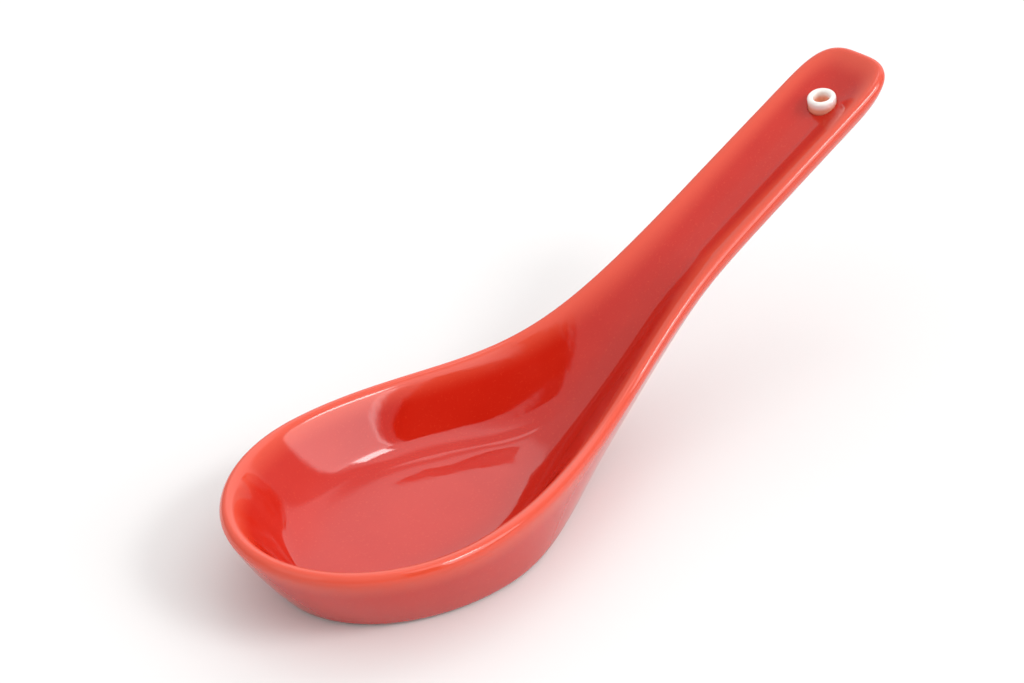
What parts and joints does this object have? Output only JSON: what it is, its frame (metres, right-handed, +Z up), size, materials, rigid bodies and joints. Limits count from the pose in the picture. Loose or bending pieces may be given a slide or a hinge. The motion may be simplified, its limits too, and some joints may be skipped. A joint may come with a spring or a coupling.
{
  "type": "chinese soup spoon",
  "caption": "Glazed ceramic soup spoon with a deep flat-bottomed bowl and a rising gutter handle that has an eyelet to hang it by.",
  "frame": {"origin": "on the surface that the spoon stands on, under the middle of its length", "axes": "+X along the spoon from the tip of the bowl to the end of the handle, +Y across the bowl, +Z up"},
  "size_m": [0.1374, 0.045, 0.0468],
  "materials": {
    "bare_clay": "matt",
    "red_glaze": "gloss",
    "white_eyelet": "gloss"
  },
  "bodies": {
    "root": {"clay_body": "bare_clay", "glaze_coat": "red_glaze", "hang_eyelet": "white_eyelet"}
  },
  "joints": []
}
